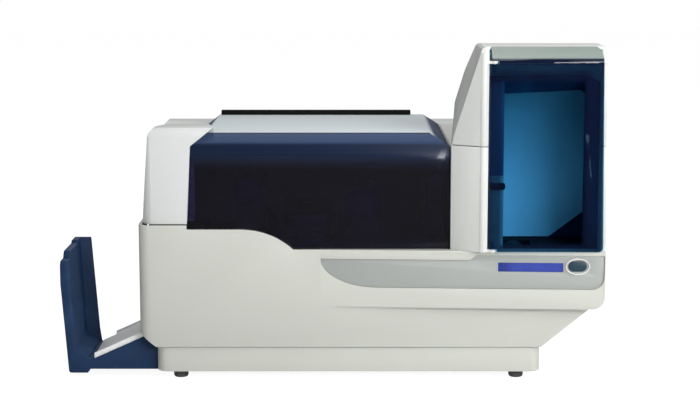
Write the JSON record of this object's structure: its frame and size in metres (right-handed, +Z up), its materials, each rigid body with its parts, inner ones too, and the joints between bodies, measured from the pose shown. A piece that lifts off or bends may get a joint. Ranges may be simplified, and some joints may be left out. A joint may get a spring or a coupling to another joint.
{
  "type": "id card printer",
  "caption": "Desktop card printer: low housing with a lift-up smoked lid, card feeder tower with a clear hinged door, card hopper at the side.",
  "frame": {"origin": "centre of the footprint's bounding box, on the surface that the feet stand on", "axes": "+X to the right along the longest side, +Y to the back, +Z up; the front with the controls faces -Y"},
  "size_m": [0.406, 0.239, 0.2507],
  "materials": {
    "housing_plastic": "fine moulded texture, off-white",
    "lid_plastic": "satin off-white",
    "smoked_window": "glossy smoked blue, see-through",
    "clear_blue_door": "glossy blue, see-through",
    "black_plastic": "fine texture",
    "navy_plastic": "semi-gloss navy",
    "silver_panel": "satin silver grey",
    "display_glass": "glossy blue display",
    "button_plastic": "semi-gloss dark",
    "white_plastic": "smooth white",
    "foot_rubber": "matt rubber",
    "roller_rubber": "matt rubber",
    "sticky_roller": "tacky blue polymer",
    "belt_rubber": "matt rubber",
    "frame_steel": "zinc plated",
    "shaft_steel": "turned steel",
    "bushing_bronze": "sintered bronze",
    "head_aluminium": "extruded fins",
    "motor_metal": "satin black",
    "spool_plastic": "moulded",
    "ribbon_film": "wound film",
    "circuit_board": "solder mask"
  },
  "bodies": {
    "base": {"rubber_feet": "foot_rubber", "base_pan": "housing_plastic", "front_housing": "housing_plastic", "rear_cover": "housing_plastic", "feeder_tower": "housing_plastic", "tower_cap": "housing_plastic", "control_panel": "silver_panel", "lcd_display": "display_glass", "lid_hinge_pins": "shaft_steel", "door_hinge_pins": "shaft_steel", "feeder_liner": "navy_plastic", "feeder_back_panel": "white_plastic", "feeder_floor": "black_plastic", "exit_duct": "navy_plastic", "output_hopper": "navy_plastic", "output_chute": "white_plastic", "front_frame_plate": "frame_steel", "rear_frame_plate": "frame_steel", "frame_crossbars": "shaft_steel", "shaft_bushings": "bushing_bronze", "cleaning_cartridge": "navy_plastic", "transport_belt": "belt_rubber", "motor_belt": "belt_rubber", "drive_motor": "motor_metal", "head_hinge_pin": "shaft_steel", "ribbon_web": "ribbon_film", "ribbon_motors": "motor_metal", "main_board": "circuit_board", "power_switch": "black_plastic", "rear_connectors": "black_plastic", "cover_screws": "shaft_steel"},
    "lid": {"lid_frame": "lid_plastic", "lid_window": "smoked_window", "lid_rear_lip": "black_plastic"},
    "door": {"feeder_door": "clear_blue_door"},
    "button": {"panel_button": "button_plastic"},
    "gate": {"thickness_gate": "frame_steel", "gate_knob": "black_plastic"},
    "rocker": {"power_rocker": "black_plastic"},
    "head": {"print_head_arm": "black_plastic", "print_head": "head_aluminium"},
    "platen_drive": {"platen_roller": "roller_rubber", "platen_shaft": "shaft_steel"},
    "pick_drive": {"pick_roller": "roller_rubber", "pick_shaft": "shaft_steel"},
    "entry_drive": {"entry_roller": "roller_rubber", "entry_shaft": "shaft_steel"},
    "middle_drive": {"middle_roller": "roller_rubber", "middle_shaft": "shaft_steel"},
    "exit_drive": {"exit_roller": "roller_rubber", "exit_shaft": "shaft_steel"},
    "middle_pinch": {"middle_pinch_roller": "shaft_steel"},
    "exit_pinch": {"exit_pinch_roller": "shaft_steel"},
    "cleaner": {"cleaning_roller": "sticky_roller"},
    "motor_spindle": {"motor_pulley": "shaft_steel"},
    "supply": {"supply_spool": "spool_plastic", "supply_ribbon": "ribbon_film"},
    "takeup": {"takeup_spool": "spool_plastic", "takeup_ribbon": "ribbon_film"}
  },
  "joints": [
    {"name": "lid_hinge", "type": "hinge", "parent": "base", "child": "lid", "pos_m": [-0.0091, 0.067, 0.1812], "axis": [-1, 0, 0], "range_deg": [0, 92]},
    {"name": "door_hinge", "type": "hinge", "parent": "base", "child": "door", "pos_m": [0.1192, -0.1163, 0.17545], "axis": [0, 0, -1], "range_deg": [0, 100]},
    {"name": "button_press", "type": "slide", "parent": "base", "child": "button", "axis": [0.0521, 0.9986, 0], "range_m": [0, 0.0008], "stiffness_N_per_m": 400, "springref_m": -0.0004},
    {"name": "gate_slide", "type": "slide", "parent": "base", "child": "gate", "axis": [0, 0, 1], "range_m": [0, 0.003]},
    {"name": "rocker_tip", "type": "hinge", "parent": "base", "child": "rocker", "pos_m": [0.1335, 0.1135, 0.0483], "axis": [-1, 0, 0], "range_deg": [0, 12]},
    {"name": "head_hinge", "type": "hinge", "parent": "base", "child": "head", "pos_m": [-0.0183, -0.028, 0.112], "axis": [-1, 0, 0], "range_deg": [0, 12]},
    {"name": "platen_spin", "type": "hinge", "parent": "base", "child": "platen_drive", "pos_m": [-0.0183, -0.066, 0.089], "axis": [0, 1, 0], "continuous": true},
    {"name": "pick_spin", "type": "hinge", "parent": "base", "child": "pick_drive", "pos_m": [0.1398, -0.066, 0.0873], "axis": [0, 1, 0], "continuous": true},
    {"name": "entry_spin", "type": "hinge", "parent": "base", "child": "entry_drive", "pos_m": [0.0767, -0.066, 0.091], "axis": [0, 1, 0], "continuous": true},
    {"name": "middle_spin", "type": "hinge", "parent": "base", "child": "middle_drive", "pos_m": [0.0322, -0.066, 0.091], "axis": [0, 1, 0], "continuous": true},
    {"name": "exit_spin", "type": "hinge", "parent": "base", "child": "exit_drive", "pos_m": [-0.085, -0.066, 0.091], "axis": [0, 1, 0], "continuous": true},
    {"name": "middle_pinch_spin", "type": "hinge", "parent": "base", "child": "middle_pinch", "pos_m": [0.0322, -0.066, 0.1038], "axis": [0, 1, 0], "continuous": true},
    {"name": "exit_pinch_spin", "type": "hinge", "parent": "base", "child": "exit_pinch", "pos_m": [-0.085, -0.066, 0.1038], "axis": [0, 1, 0], "continuous": true},
    {"name": "cleaner_spin", "type": "hinge", "parent": "base", "child": "cleaner", "pos_m": [0.0767, -0.066, 0.1058], "axis": [0, 1, 0], "continuous": true},
    {"name": "motor_spin", "type": "hinge", "parent": "base", "child": "motor_spindle", "pos_m": [-0.0153, -0.036, 0.0454], "axis": [0, 1, 0], "continuous": true},
    {"name": "supply_spin", "type": "hinge", "parent": "base", "child": "supply", "pos_m": [0.0247, -0.066, 0.1305], "axis": [0, 1, 0], "continuous": true},
    {"name": "takeup_spin", "type": "hinge", "parent": "base", "child": "takeup", "pos_m": [-0.0618, -0.066, 0.1418], "axis": [0, 1, 0], "continuous": true}
  ],
  "couplings": [
    {"joint": "pick_spin", "follows": "platen_spin", "ratio": 1},
    {"joint": "entry_spin", "follows": "platen_spin", "ratio": 1},
    {"joint": "middle_spin", "follows": "platen_spin", "ratio": 1},
    {"joint": "exit_spin", "follows": "platen_spin", "ratio": 1},
    {"joint": "middle_pinch_spin", "follows": "platen_spin", "ratio": -1.4},
    {"joint": "exit_pinch_spin", "follows": "platen_spin", "ratio": -1.4},
    {"joint": "cleaner_spin", "follows": "platen_spin", "ratio": -1},
    {"joint": "motor_spin", "follows": "platen_spin", "ratio": 2}
  ]
}
